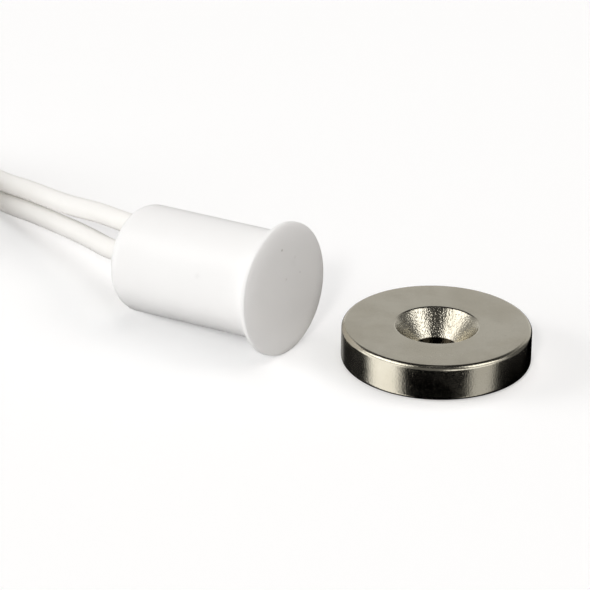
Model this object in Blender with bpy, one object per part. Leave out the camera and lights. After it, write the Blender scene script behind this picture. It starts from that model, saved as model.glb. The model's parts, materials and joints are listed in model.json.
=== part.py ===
# Recessed magnetic contact: a flanged reed switch on two leads, and its countersunk ring magnet.
# The switch lies on its flange rim and on its rounded back edge, the magnet lies flat beside it.
# Units are metres, +Z is up and z = 0 is the table. The switch's axis runs along X, flange at +X.
# The frame's origin is under the middle of the box round the switch and the magnet.

from math import acos, asin, atan2, cos, degrees, hypot, pi, radians, sin, sqrt, tan

import bmesh
import bpy
from mathutils import Matrix, Vector

MM = 0.001

# Housing
BODY_DIAMETER = 9.4 * MM
BODY_WALL = 0.95 * MM
SWITCH_LENGTH = 15.9 * MM
FLANGE_DIAMETER = 11.6 * MM
FLANGE_THICKNESS = 0.75 * MM
RIM_LAND = 0.35 * MM
CROWN_WIDTH = 1.9 * MM
FLANGE_FILLET = 0.2 * MM
FRONT_WALL = 1.1 * MM
BACK_ROUNDING = 1.35 * MM
BORE_CORNER = 0.3 * MM

# Potting compound
POTTING_GAP = 0.1 * MM
POTTING_RECESS = 0.3 * MM
MENISCUS = 0.2 * MM
CHANNEL_GAP = 0.1 * MM
CUTTER_OVERRUN = 1.5 * MM

# Reed capsule
GLASS_DIAMETER = 2.0 * MM
GLASS_LENGTH = 7.4 * MM
GLASS_WALL = 0.3 * MM
GLASS_SHOULDER = 0.5 * MM
SEAL_LENGTH = 1.0 * MM
SEAL_TAPER = 0.2 * MM
REED_WIRE_DIAMETER = 0.5 * MM
BLADE_WIDTH = 0.9 * MM
BLADE_THICKNESS = 0.18 * MM
BLADE_OVERLAP = 0.9 * MM
CONTACT_GAP = 0.1 * MM
SEAL_GAP = 0.05 * MM
TURN_LEAD_IN = 0.3 * MM
REED_SETBACK = 0.3 * MM
REAR_WIRE = 1.0 * MM

# Joints to the leads
SLEEVE_WALL = 0.22 * MM
SLEEVE_GAP = 0.05 * MM
SOLDER_DIAMETER = 1.25 * MM
SOLDER_LENGTH = 1.7 * MM
SOLDER_GAP = 0.05 * MM
SOLDER_LIP = 0.06 * MM
SOLDER_WEB = 0.08 * MM
CORE_DIAMETER = 0.75 * MM
CORE_LENGTH = 1.1 * MM
CORE_STRANDS = 6
CORE_TWIST = radians(130)

# Leads
LEAD_DIAMETER = 1.8 * MM
LEAD_A_ANGLE = radians(56.5)
LEAD_A_INNER_RADIUS = 2.1 * MM
LEAD_A_MOUTH_RADIUS = 2.35 * MM
LEAD_B_MOUTH_SHIFT = 0.15 * MM

# Magnet
MAGNET_DIAMETER = 16.2 * MM
MAGNET_THICKNESS = 3.2 * MM
MAGNET_EDGE = 0.4 * MM
SINK_DIAMETER = 7.2 * MM
SINK_ANGLE = radians(82)
SINK_LIP = 0.25 * MM
HOLE_DIAMETER = 3.6 * MM
HOLE_EDGE = 0.2 * MM
MAGNET_AHEAD = 10.9 * MM
MAGNET_ASIDE = 6.65 * MM

# Stored coil of both leads: three turns wide and three high
COIL_TURNS_WIDE = 3
COIL_TURNS_HIGH = 3
COIL_MIDDLE = 12
COIL_SLACK = 0.05 * MM
COIL_CORNER = 0.7 * MM
TIE_WIDTH = 2.6 * MM
TIE_THICKNESS = 0.35 * MM
TIE_GAP = 0.15 * MM
TIE_ANGLE = radians(215)
TAIL_LENGTH = 7.0 * MM
TAIL_WIDTH = 1.5 * MM
TAIL_THICKNESS = 0.7 * MM
TAIL_TWISTS = 1.5
BARE_LENGTH = 5.0 * MM
BARE_A_RADIUS = 4.95 * MM
BARE_A_ANGLE = radians(60)
BARE_A_TURN = radians(24)
BARE_B_RADIUS = 6.9 * MM
BARE_B_ANGLE = radians(90)
BARE_B_TURN = radians(21)
END_GAP = 0.1 * MM
TABLE_GAP = 0.05 * MM

# Each lead's own way over the table after it has left the housing, chosen by hand
ROUTE_A = (
    (-18.75, -3.10, 6.55),
    (-20.60, -2.80, 6.42),
    (-22.70, -2.20, 6.15),
    (-24.90, -1.40, 5.66),
    (-27.95, -0.30, 4.90),
    (-31.45, 1.25, 4.08),
    (-34.85, 2.65, 3.42),
    (-38.20, 3.55, 2.90),
)
ROUTE_B = (
    (-18.50, -4.70, 4.50),
    (-20.10, -4.50, 4.38),
    (-21.50, -3.95, 4.18),
    (-23.85, -2.80, 3.80),
    (-27.25, -1.25, 3.20),
    (-30.70, 0.30, 2.50),
    (-34.25, 1.85, 1.78),
    (-37.80, 3.05, 1.18),
)
RUN_END = (-41.2 * MM, 4.25 * MM)
RUN_HEADING = radians(164)

# Worked out from the sizes above
BODY_RADIUS = BODY_DIAMETER / 2
BORE_RADIUS = BODY_RADIUS - BODY_WALL
FLANGE_RADIUS = FLANGE_DIAMETER / 2
LEAD_RADIUS = LEAD_DIAMETER / 2
WIRE_RADIUS = REED_WIRE_DIAMETER / 2
GLASS_RADIUS = GLASS_DIAMETER / 2
MAGNET_RADIUS = MAGNET_DIAMETER / 2
SLEEVE_RADIUS = WIRE_RADIUS + SLEEVE_GAP + SLEEVE_WALL

# Lying angle: the table touches the flange's rear rim and runs past the back rounding
rest_run = SWITCH_LENGTH - BACK_ROUNDING - FLANGE_THICKNESS
rest_drop = FLANGE_RADIUS - (BODY_RADIUS - BACK_ROUNDING)
REST_TILT = acos(BACK_ROUNDING / hypot(rest_run, rest_drop)) - atan2(rest_run, rest_drop)

# Box round the switch and the magnet, from the middle of the flange's face
switch_back = (SWITCH_LENGTH - BACK_ROUNDING) * cos(REST_TILT) + BACK_ROUNDING
switch_back += (BODY_RADIUS - BACK_ROUNDING) * sin(REST_TILT)
BOX_X = (MAGNET_AHEAD + MAGNET_RADIUS - switch_back) / 2
BOX_Y = (MAGNET_ASIDE + MAGNET_RADIUS - FLANGE_RADIUS) / 2
FACE_HEIGHT = FLANGE_THICKNESS * sin(REST_TILT) + FLANGE_RADIUS * cos(REST_TILT)
SWITCH_PLACE = Matrix.Translation((-BOX_X, -BOX_Y, FACE_HEIGHT)) @ Matrix.Rotation(-REST_TILT, 4, "Y")

# Stations along the switch's axis, from the flange's face towards the back
POTTING_FRONT = -(FRONT_WALL + POTTING_GAP)
POTTING_BACK = -(SWITCH_LENGTH - POTTING_RECESS)
TURN_RADIUS = LEAD_A_INNER_RADIUS / 2
GLASS_FRONT = POTTING_FRONT - REED_SETBACK - WIRE_RADIUS - TURN_RADIUS - TURN_LEAD_IN
GLASS_BACK = GLASS_FRONT - GLASS_LENGTH
GLASS_MIDDLE = (GLASS_FRONT + GLASS_BACK) / 2
SOLDER_FRONT = GLASS_BACK - REAR_WIRE / 2
SOLDER_MIDDLE = SOLDER_FRONT - SOLDER_LENGTH / 2
JACKET_FRONT = SOLDER_FRONT - SOLDER_LENGTH - CORE_LENGTH / 2
LEAD_A_SIDE = Vector((0, cos(LEAD_A_ANGLE), sin(LEAD_A_ANGLE)))

# Coil
COIL_RADIUS = COIL_MIDDLE * LEAD_DIAMETER / 2
COIL_HALF_WIDTH = COIL_TURNS_WIDE * LEAD_DIAMETER / 2 + COIL_SLACK
COIL_HEIGHT = COIL_TURNS_HIGH * LEAD_DIAMETER + 2 * COIL_SLACK
ENTRY_RADIUS = COIL_RADIUS + (COIL_TURNS_WIDE - 1) * LEAD_DIAMETER / 2
ENTRY_ANGLE = RUN_HEADING - pi / 2
reach = COIL_RADIUS + COIL_HALF_WIDTH + END_GAP + LEAD_RADIUS
entry_run = sqrt(reach**2 - ENTRY_RADIUS**2)
COIL_CENTRE = Vector((
    RUN_END[0] + entry_run * cos(RUN_HEADING) - ENTRY_RADIUS * cos(ENTRY_ANGLE),
    RUN_END[1] + entry_run * sin(RUN_HEADING) - ENTRY_RADIUS * sin(ENTRY_ANGLE),
    0,
))
# The coil lies on its tie at one side and on the table at the other
tie_foot = COIL_RADIUS - COIL_HALF_WIDTH - TIE_GAP + COIL_CORNER
far_foot = COIL_RADIUS + COIL_HALF_WIDTH - COIL_CORNER
COIL_TILT = asin((TIE_THICKNESS + TIE_GAP - TABLE_GAP) / (tie_foot + far_foot))
COIL_LIFT = TABLE_GAP + far_foot * sin(COIL_TILT)
COIL_PLACE = (
    Matrix.Translation(COIL_CENTRE + Vector((0, 0, COIL_LIFT)))
    @ Matrix.Rotation(TIE_ANGLE, 4, "Z")
    @ Matrix.Rotation(-COIL_TILT, 4, "Y")
)


def clear_scene():
    for obj in list(bpy.data.objects):
        bpy.data.objects.remove(obj)


def material(name, color, roughness, metallic=0.0):
    made = bpy.data.materials.new(name)
    made.use_nodes = True
    shader = made.node_tree.nodes["Principled BSDF"]
    shader.inputs["Base Color"].default_value = (*color, 1)
    shader.inputs["Roughness"].default_value = roughness
    shader.inputs["Metallic"].default_value = metallic
    made.diffuse_color = (*color, 1)
    return made


def add_object(name, mesh, finish):
    obj = bpy.data.objects.new(name, mesh)
    bpy.context.scene.collection.objects.link(obj)
    if finish:
        obj.data.materials.append(finish)
    return obj


def finish_mesh(bm, name, sharp=30):
    """Closes the bmesh as a mesh with outward faces, smooth except at edges sharper than the angle."""
    bmesh.ops.remove_doubles(bm, verts=bm.verts, dist=1e-7)
    bmesh.ops.recalc_face_normals(bm, faces=bm.faces)
    mesh = bpy.data.meshes.new(name)
    bm.to_mesh(mesh)
    bm.free()
    mesh.shade_smooth()
    mesh.set_sharp_from_angle(angle=radians(sharp))
    return mesh


def arc(along, out, radius, start, end, steps):
    """Points (along, out) on a circle round (along, out), from one angle to another in degrees."""
    angles = [radians(start + (end - start) * i / steps) for i in range(steps + 1)]
    return [(along + radius * cos(a), out + radius * sin(a)) for a in angles]


def turned(name, profile, steps, closed=False, about="X"):
    """Turns a profile of (along, out) points about an axis. A closed profile is a loop off the axis."""
    bm = bmesh.new()
    axis = Vector((1, 0, 0)) if about == "X" else Vector((0, 0, 1))
    out = Vector((0, 0, 1)) if about == "X" else Vector((1, 0, 0))
    verts = [bm.verts.new(axis * a + out * r) for a, r in profile]
    edges = [bm.edges.new(pair) for pair in zip(verts, verts[1:])]
    if closed:
        edges.append(bm.edges.new((verts[-1], verts[0])))
    bmesh.ops.spin(
        bm, geom=verts + edges, cent=(0, 0, 0), axis=axis, angle=2 * pi, steps=steps, use_merge=True
    )
    return finish_mesh(bm, name)


def smooth_points(knots, step):
    """Points a step apart along one smooth curve through the knots."""
    ends = [2 * knots[0] - knots[1], *knots, 2 * knots[-1] - knots[-2]]
    fine = []
    for before, a, b, after in zip(ends, ends[1:], ends[2:], ends[3:]):
        for i in range(20):
            t = i / 20
            fine.append(0.5 * (
                2 * a + (b - before) * t
                + (2 * before - 5 * a + 4 * b - after) * t**2
                + (3 * a - before - 3 * b + after) * t**3
            ))
    fine.append(knots[-1])
    lengths = [(q - p).length for p, q in zip(fine, fine[1:])]
    count = max(2, round(sum(lengths) / step))
    points, walked, target = [fine[0]], 0.0, sum(lengths) / count
    for p, q, length in zip(fine, fine[1:], lengths):
        while walked + length >= target * len(points) and len(points) < count:
            share = (target * len(points) - walked) / length
            points.append(p.lerp(q, share))
        walked += length
    points.append(fine[-1])
    return points


def tube_curve(name, points, radius, finish, resolution=2):
    """A round tube with closed ends along the points."""
    curve = bpy.data.curves.new(name, "CURVE")
    curve.dimensions = "3D"
    curve.bevel_depth = radius
    curve.bevel_resolution = resolution
    curve.use_fill_caps = True
    spline = curve.splines.new("POLY")
    spline.points.add(len(points) - 1)
    for place, point in zip(spline.points, points):
        place.co = (*point, 1)
    spline.use_smooth = True
    return add_object(name, curve, finish)


def helper_mesh(name, points, radius, resolution=3):
    """The same tube as a mesh, to join with or cut from another piece."""
    obj = tube_curve(name, points, radius, None, resolution)
    mesh = bpy.data.meshes.new_from_object(obj)
    bpy.data.objects.remove(obj)
    bm = bmesh.new()
    bm.from_mesh(mesh)
    return finish_mesh(bm, name)


def helper(name, mesh, place=None):
    """An object that only cuts or joins, left out of the render."""
    obj = add_object(name, mesh, None)
    obj.hide_render = True
    obj.display_type = "WIRE"
    if place:
        obj.matrix_world = place
    return obj


def boolean(obj, other, operation):
    step = obj.modifiers.new(other.name, "BOOLEAN")
    step.operation = operation
    step.solver = "EXACT"
    step.object = other


def seat(obj, parent):
    """Parents a piece to the switch, whose frame it was modelled in."""
    obj.parent = parent
    return obj


def housing_profile():
    """Front face, soft crown, rim, flange, body, back rounding, mouth and bore."""
    crown_drop = FLANGE_THICKNESS - RIM_LAND
    flat = FLANGE_RADIUS - CROWN_WIDTH
    points = [(0, 0), (0, flat)]
    for i in range(1, 9):
        a = radians(90 * i / 8)
        points.append((-crown_drop * (1 - cos(a)), flat + CROWN_WIDTH * sin(a)))
    points.append((-FLANGE_THICKNESS, FLANGE_RADIUS))
    points += arc(
        -FLANGE_THICKNESS - FLANGE_FILLET, BODY_RADIUS + FLANGE_FILLET, FLANGE_FILLET, 0, -90, 4
    )
    # The rounding runs to the bore, or to a flat end where the wall is thicker than the rounding
    centre = BODY_RADIUS - BACK_ROUNDING
    stop = 180 if BORE_RADIUS <= centre else 180 - degrees(asin((BORE_RADIUS - centre) / BACK_ROUNDING))
    points += arc(-(SWITCH_LENGTH - BACK_ROUNDING), centre, BACK_ROUNDING, 90, stop, 7)
    if BORE_RADIUS <= centre:
        points.append((-SWITCH_LENGTH, BORE_RADIUS))
    points += arc(-FRONT_WALL - BORE_CORNER, BORE_RADIUS - BORE_CORNER, BORE_CORNER, 90, 0, 3)
    points.append((-FRONT_WALL, 0))
    return points


def potting_profile():
    """A plug that fills the bore, with a meniscus that sinks between the wall and the middle."""
    radius = BORE_RADIUS - POTTING_GAP
    corner = BORE_CORNER + POTTING_GAP
    points = [(POTTING_FRONT, 0)]
    points += arc(POTTING_FRONT - corner, radius - corner, corner, 0, 90, 3)
    for i in range(6):
        out = radius * (1 - i / 5)
        points.append((POTTING_BACK + MENISCUS * (1 - (out / radius) ** 2), out))
    return points


def channel(name, stations):
    """A cutter turned from (along, radius) stations, in order from front to back."""
    profile = [(stations[0][0], 0)]
    for (front, radius), (back, _) in zip(stations, stations[1:]):
        profile += [(front, radius), (back, radius)]
    profile.append((stations[-1][0], 0))
    return turned(name, profile, 24)


def make_potting(parent, finish):
    potting = seat(add_object("potting_compound", turned("potting", potting_profile(), 48), finish), parent)
    solder = SOLDER_DIAMETER / 2 + CHANNEL_GAP
    glass = GLASS_RADIUS + CHANNEL_GAP
    lead = LEAD_RADIUS + CHANNEL_GAP
    wire = WIRE_RADIUS + CHANNEL_GAP
    sleeve = SLEEVE_RADIUS + CHANNEL_GAP
    solder_front = SOLDER_FRONT + CHANNEL_GAP
    solder_back = SOLDER_FRONT - SOLDER_LENGTH - CHANNEL_GAP
    core = CORE_DIAMETER / 2 + CHANNEL_GAP
    jacket_front = JACKET_FRONT + CHANNEL_GAP
    middle = channel("channel_middle", [
        (GLASS_FRONT + CHANNEL_GAP, glass),
        (GLASS_BACK - CHANNEL_GAP, wire),
        (solder_front, solder),
        (solder_back, core),
        (jacket_front - LEAD_RADIUS / 2, 0),
    ])
    side = channel("channel_side", [
        (GLASS_FRONT, wire),
        (GLASS_FRONT - CHANNEL_GAP, sleeve),
        (SOLDER_FRONT - CHANNEL_GAP, solder),
        (solder_back, core),
        (jacket_front - LEAD_RADIUS / 2, 0),
    ])
    offset = LEAD_A_SIDE * LEAD_A_INNER_RADIUS
    turn = helper_mesh("channel_turn", turn_points(GLASS_FRONT - CHANNEL_GAP), wire)
    cutters = [
        helper("channel_middle", middle),
        helper("channel_side", side, Matrix.Translation(offset)),
        helper("channel_turn", turn),
    ]
    for name, (inner, mouth) in (("a", lead_a_ends()), ("b", lead_b_ends())):
        run = (mouth - inner).normalized()
        line = [inner - run * CHANNEL_GAP, mouth + run * CUTTER_OVERRUN]
        cutters.append(helper("channel_lead_" + name, helper_mesh("channel_lead", line, lead, 6)))
    for cutter in cutters:
        seat(cutter, parent)
        boolean(potting, cutter, "DIFFERENCE")


def turn_points(end):
    """The front reed's wire from its seal round the half turn, to a station beside the glass."""
    start = GLASS_FRONT - SEAL_LENGTH
    straight = GLASS_FRONT + TURN_LEAD_IN
    points = [Vector((start, 0, 0)), Vector((straight, 0, 0))]
    for i in range(1, 12):
        a = pi * i / 12
        centre = Vector((straight, 0, 0)) + LEAD_A_SIDE * TURN_RADIUS
        points.append(centre + Vector((sin(a), 0, 0)) * TURN_RADIUS - LEAD_A_SIDE * (cos(a) * TURN_RADIUS))
    points.append(Vector((straight, 0, 0)) + LEAD_A_SIDE * LEAD_A_INNER_RADIUS)
    points.append(Vector((end, 0, 0)) + LEAD_A_SIDE * LEAD_A_INNER_RADIUS)
    return points


def lead_a_ends():
    """Lead A's cut end in the compound and the place where it leaves, in the switch's frame."""
    inner = Vector((JACKET_FRONT, 0, 0)) + LEAD_A_SIDE * LEAD_A_INNER_RADIUS
    mouth = Vector((POTTING_BACK, 0, 0)) + LEAD_A_SIDE * LEAD_A_MOUTH_RADIUS
    return inner, mouth


def lead_b_ends():
    return Vector((JACKET_FRONT, 0, 0)), Vector((POTTING_BACK, -LEAD_B_MOUTH_SHIFT, 0))


def make_glass(parent, finish):
    """A tube sealed round the wires: thick at both ends, with rounded shoulders."""
    hole = WIRE_RADIUS + SEAL_GAP
    chamber = GLASS_RADIUS - GLASS_WALL
    taper = SEAL_LENGTH + SEAL_TAPER
    nose = GLASS_RADIUS - GLASS_SHOULDER
    profile = [(GLASS_FRONT, hole)]
    profile += arc(GLASS_FRONT - GLASS_SHOULDER, nose, GLASS_SHOULDER, 0, 90, 5)
    profile += arc(GLASS_BACK + GLASS_SHOULDER, nose, GLASS_SHOULDER, 90, 180, 5)
    profile.append((GLASS_BACK, hole))
    profile += [(GLASS_BACK + SEAL_LENGTH, hole), (GLASS_BACK + taper, chamber)]
    profile += [(GLASS_FRONT - taper, chamber), (GLASS_FRONT - SEAL_LENGTH, hole)]
    seat(add_object("reed_glass", turned("reed_glass", profile, 32, closed=True), finish), parent)


def blade_mesh(name, root, tip, lift):
    """A flattened reed from its round wire to its tip, lifted to its side of the contact gap."""
    bm = bmesh.new()
    rows = []
    bend = root + (tip - root) * 0.25
    for station, height, half in (
        (root, 0, WIRE_RADIUS * 0.9),
        (bend, lift, BLADE_WIDTH / 2),
        (tip, lift, BLADE_WIDTH / 2),
    ):
        low, high = height - BLADE_THICKNESS / 2, height + BLADE_THICKNESS / 2
        corners = ((-half, low), (half, low), (half, high), (-half, high))
        rows.append([bm.verts.new((station, y, z)) for y, z in corners])
    for a, b in zip(rows, rows[1:]):
        for i in range(4):
            bm.faces.new((a[i], a[(i + 1) % 4], b[(i + 1) % 4], b[i]))
    bm.faces.new(rows[0])
    bm.faces.new(rows[-1])
    return finish_mesh(bm, name)


def make_blades(parent, finish):
    lift = (BLADE_THICKNESS + CONTACT_GAP) / 2
    inside = SEAL_LENGTH * 0.8
    front_tip = GLASS_MIDDLE - BLADE_OVERLAP / 2
    rear_tip = GLASS_MIDDLE + BLADE_OVERLAP / 2
    return_end = SOLDER_MIDDLE + SOLDER_WEB + SOLDER_GAP
    front = seat(add_object(
        "reed_blade_front", helper_mesh("front_wire", turn_points(return_end), WIRE_RADIUS), finish
    ), parent)
    paddle = seat(helper(
        "paddle_front", blade_mesh("paddle_front", GLASS_FRONT - inside, front_tip, lift)
    ), parent)
    boolean(front, paddle, "UNION")
    rear_wire = [Vector((GLASS_BACK + SEAL_LENGTH, 0, 0)), Vector((return_end, 0, 0))]
    rear = seat(add_object(
        "reed_blade_rear", helper_mesh("rear_wire", rear_wire, WIRE_RADIUS), finish
    ), parent)
    paddle = seat(helper(
        "paddle_rear", blade_mesh("paddle_rear", GLASS_BACK + inside, rear_tip, -lift)
    ), parent)
    boolean(rear, paddle, "UNION")


def make_sleeve(parent, finish):
    """Tubing on the wire that runs back beside the glass."""
    inner = WIRE_RADIUS + SLEEVE_GAP
    front = GLASS_FRONT - 2 * CHANNEL_GAP
    back = SOLDER_FRONT + CHANNEL_GAP
    profile = [(front, inner), (front, SLEEVE_RADIUS), (back, SLEEVE_RADIUS), (back, inner)]
    sleeve = add_object("insulating_sleeve", turned("sleeve", profile, 20, closed=True), finish)
    sleeve.location = LEAD_A_SIDE * LEAD_A_INNER_RADIUS
    seat(sleeve, parent)


def make_solder(name, offset, parent, finish):
    """A barrel of solder, with a blind hole at each end for the wire and the core."""
    half = SOLDER_LENGTH / 2
    neck = CORE_DIAMETER / 2 + SOLDER_GAP
    lip = neck + SOLDER_LIP
    swell = SOLDER_DIAMETER / 2 - lip
    front_wall = SOLDER_MIDDLE + SOLDER_WEB
    back_wall = SOLDER_MIDDLE - SOLDER_WEB
    profile = [(front_wall, 0), (front_wall, WIRE_RADIUS + SOLDER_GAP)]
    profile.append((SOLDER_MIDDLE + half, WIRE_RADIUS + SOLDER_GAP))
    for i in range(9):
        a = pi * i / 8
        profile.append((SOLDER_MIDDLE + half * cos(a), lip + swell * sin(a)))
    profile += [(SOLDER_MIDDLE - half, neck), (back_wall, neck), (back_wall, 0)]
    joint = add_object(name, turned(name, profile, 20), finish)
    joint.location = offset
    seat(joint, parent)


def make_core(name, offset, parent, finish):
    """The stripped strands between a jacket and its solder joint, as one twisted bundle."""
    front = SOLDER_MIDDLE - SOLDER_WEB - SOLDER_GAP
    back = JACKET_FRONT + END_GAP
    steps = 10
    around = CORE_STRANDS * 4
    bm = bmesh.new()
    rings = []
    for i in range(steps + 1):
        station = front + (back - front) * i / steps
        turn = CORE_TWIST * i / steps
        ring = []
        for j in range(around):
            a = 2 * pi * j / around
            out = CORE_DIAMETER / 2 * (0.94 + 0.06 * cos(CORE_STRANDS * a))
            ring.append(bm.verts.new((station, out * cos(a + turn), out * sin(a + turn))))
        rings.append(ring)
    for a, b in zip(rings, rings[1:]):
        for i in range(len(a)):
            j = (i + 1) % len(a)
            bm.faces.new((a[i], a[j], b[j], b[i]))
    bm.faces.new(rings[0])
    bm.faces.new(rings[-1])
    core = add_object(name, finish_mesh(bm, name), finish)
    core.location = offset
    seat(core, parent)


def layer_height(x, y, layer):
    """Height of the middle of a turn in the first, second or third layer, on the coil's tilted plane."""
    towards_tie = (x - COIL_CENTRE.x) * cos(TIE_ANGLE) + (y - COIL_CENTRE.y) * sin(TIE_ANGLE)
    return COIL_LIFT + towards_tie * sin(COIL_TILT) + COIL_SLACK + (layer - 0.5) * LEAD_DIAMETER


def make_lead(name, ends, route, layer, finish):
    """A lead from its cut end in the compound over the table to its layer of the coil."""
    inner, mouth = ends
    knots = [SWITCH_PLACE @ inner, SWITCH_PLACE @ mouth]
    knots += [Vector(p) * MM for p in route]
    knots.append(Vector((*RUN_END, layer_height(*RUN_END, layer))))
    tube_curve(name, smooth_points(knots, LEAD_DIAMETER), LEAD_RADIUS, finish)


def magnet_profile():
    """Section of the countersunk ring: rounded edges, a soft lip, the cone and the straight hole."""
    r, t, e = MAGNET_RADIUS, MAGNET_THICKNESS, MAGNET_EDGE
    hole = HOLE_DIAMETER / 2
    half = SINK_ANGLE / 2
    depth = (SINK_DIAMETER / 2 - hole) / tan(half)
    # The lip is an arc that meets the top face and the cone
    turn = pi / 2 - half
    run = SINK_LIP * tan(turn / 2)
    points = arc(e, r - e, e, 180, 90, 5)
    points += arc(t - e, r - e, e, 90, 0, 6)
    points += arc(t - SINK_LIP, SINK_DIAMETER / 2 + run, SINK_LIP, 0, -degrees(turn), 4)
    points.append((t - depth, hole))
    points += arc(HOLE_EDGE, hole + HOLE_EDGE, HOLE_EDGE, -90, -180, 3)
    return points


def make_magnet(finish):
    magnet = add_object("magnet", turned("magnet", magnet_profile(), 72, closed=True, about="Z"), finish)
    magnet.location = (MAGNET_AHEAD - BOX_X, MAGNET_ASIDE - BOX_Y, 0)


def make_coil(finish):
    """One ring with the outer shape of the wound leads."""
    inner, outer = COIL_RADIUS - COIL_HALF_WIDTH, COIL_RADIUS + COIL_HALF_WIDTH
    c = COIL_CORNER
    top = COIL_HEIGHT - c
    profile = arc(c, outer - c, c, 180, 90, 3) + arc(top, outer - c, c, 90, 0, 3)
    profile += arc(top, inner + c, c, 0, -90, 3) + arc(c, inner + c, c, -90, -180, 3)
    coil = add_object("lead_coil", turned("lead_coil", profile, 40, closed=True, about="Z"), finish)
    coil.matrix_world = COIL_PLACE


def rounded_loop(bm, across, up, corner, x):
    """Vertices of a rectangle with round corners in the YZ plane."""
    verts = []
    for cy, cz, start in ((1, 1, 0), (-1, 1, 90), (-1, -1, 180), (1, -1, 270)):
        for i in range(4):
            a = radians(start + 30 * i)
            y = cy * (across - corner) + corner * cos(a)
            z = cz * (up - corner) + corner * sin(a)
            verts.append(bm.verts.new((x, y, z)))
    return verts


def make_tie(finish):
    """A twist tie: a flat band round the coil, its twisted ends folded down on the coil's top."""
    across = COIL_HALF_WIDTH + TIE_GAP
    up = COIL_HEIGHT / 2 + TIE_GAP
    corner = COIL_CORNER
    grow = TIE_THICKNESS
    bm = bmesh.new()
    loops = [
        rounded_loop(bm, across + extra, up + extra, corner + extra, side * TIE_WIDTH / 2)
        for side, extra in ((-1, 0), (-1, grow), (1, grow), (1, 0))
    ]
    for a, b in zip(loops, loops[1:] + loops[:1]):
        for i in range(len(a)):
            j = (i + 1) % len(a)
            bm.faces.new((a[i], a[j], b[j], b[i]))
    band = add_object("coil_tie", finish_mesh(bm, "coil_tie"), finish)
    middle = Matrix.Translation((COIL_RADIUS, 0, COIL_HEIGHT / 2))
    band.matrix_world = COIL_PLACE @ middle @ Matrix.Rotation(-pi / 2, 4, "Z")
    bm = bmesh.new()
    rows = []
    steps = 12
    start = up + grow + TAIL_THICKNESS * 0.3
    for i in range(steps + 1):
        share = i / steps
        turn = pi * TAIL_TWISTS * share
        rise = (TAIL_WIDTH - TAIL_THICKNESS) / 2 * abs(sin(turn))
        place = Vector((TIE_WIDTH * 0.1 + TAIL_LENGTH * share, 0, start + rise))
        corners = ((-1, -1), (1, -1), (1, 1), (-1, 1))
        row = []
        for y, z in corners:
            p = Vector((0, y * TAIL_WIDTH / 2, z * TAIL_THICKNESS / 2))
            row.append(bm.verts.new(place + Matrix.Rotation(turn, 4, "X") @ p))
        rows.append(row)
    for a, b in zip(rows, rows[1:]):
        for i in range(4):
            bm.faces.new((a[i], a[(i + 1) % 4], b[(i + 1) % 4], b[i]))
    bm.faces.new(rows[0])
    bm.faces.new(rows[-1])
    tail = helper("tie_tail", finish_mesh(bm, "tie_tail"))
    tail.parent = band
    boolean(band, tail, "UNION")


def make_bare_end(name, radius, angle, turn, finish):
    """A tinned end on the table inside the coil. It starts at the radius and angle, turned inwards."""
    bm = bmesh.new()
    along = Matrix.Rotation(pi / 2, 4, "Y")
    bmesh.ops.create_cone(
        bm, cap_ends=True, segments=16, radius1=CORE_DIAMETER / 2, radius2=CORE_DIAMETER / 2 * 0.9,
        depth=BARE_LENGTH, matrix=along,
    )
    end = add_object(name, finish_mesh(bm, name), finish)
    start = COIL_CENTRE + Vector((radius * cos(angle), radius * sin(angle), CORE_DIAMETER / 2 + TABLE_GAP))
    heading = Matrix.Rotation(angle + pi / 2 + turn, 4, "Z")
    end.matrix_world = Matrix.Translation(start) @ heading @ Matrix.Translation((BARE_LENGTH / 2, 0, 0))


def main():
    clear_scene()
    white_plastic = material("white_housing", (0.93, 0.93, 0.92), 0.32)
    compound = material("potting_compound", (0.80, 0.79, 0.75), 0.5)
    glass = material("reed_glass", (0.55, 0.72, 0.62), 0.08)
    reed_metal = material("reed_metal", (0.60, 0.59, 0.56), 0.3, 1.0)
    sleeve = material("sleeve", (0.88, 0.86, 0.80), 0.5)
    solder = material("solder", (0.66, 0.66, 0.67), 0.35, 1.0)
    tinned = material("tinned_copper", (0.72, 0.70, 0.67), 0.35, 1.0)
    jacket = material("lead_jacket", (0.92, 0.91, 0.88), 0.45)
    tie = material("tie", (0.90, 0.90, 0.88), 0.5)
    nickel = material("magnet_nickel", (0.55, 0.53, 0.49), 0.3, 1.0)

    switch = bpy.data.objects.new("switch_place", None)
    bpy.context.scene.collection.objects.link(switch)
    switch.matrix_world = SWITCH_PLACE

    seat(add_object("housing", turned("housing", housing_profile(), 64), white_plastic), switch)
    make_potting(switch, compound)
    make_glass(switch, glass)
    make_blades(switch, reed_metal)
    make_sleeve(switch, sleeve)
    beside = LEAD_A_SIDE * LEAD_A_INNER_RADIUS
    for letter, offset in (("a", beside), ("b", Vector((0, 0, 0)))):
        make_solder("solder_joint_" + letter, offset, switch, solder)
        make_core("lead_core_" + letter, offset, switch, tinned)
    make_lead("lead_jacket_a", lead_a_ends(), ROUTE_A, 2, jacket)
    make_lead("lead_jacket_b", lead_b_ends(), ROUTE_B, 1, jacket)
    make_coil(jacket)
    make_tie(tie)
    make_bare_end("tinned_end_a", BARE_A_RADIUS, BARE_A_ANGLE, BARE_A_TURN, tinned)
    make_bare_end("tinned_end_b", BARE_B_RADIUS, BARE_B_ANGLE, BARE_B_TURN, tinned)
    make_magnet(nickel)


main()
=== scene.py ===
import json
from math import asin, atan2, cos, degrees, pi, radians, sin, sqrt, tan

import bmesh
import bpy
from mathutils import Matrix, Vector


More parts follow.
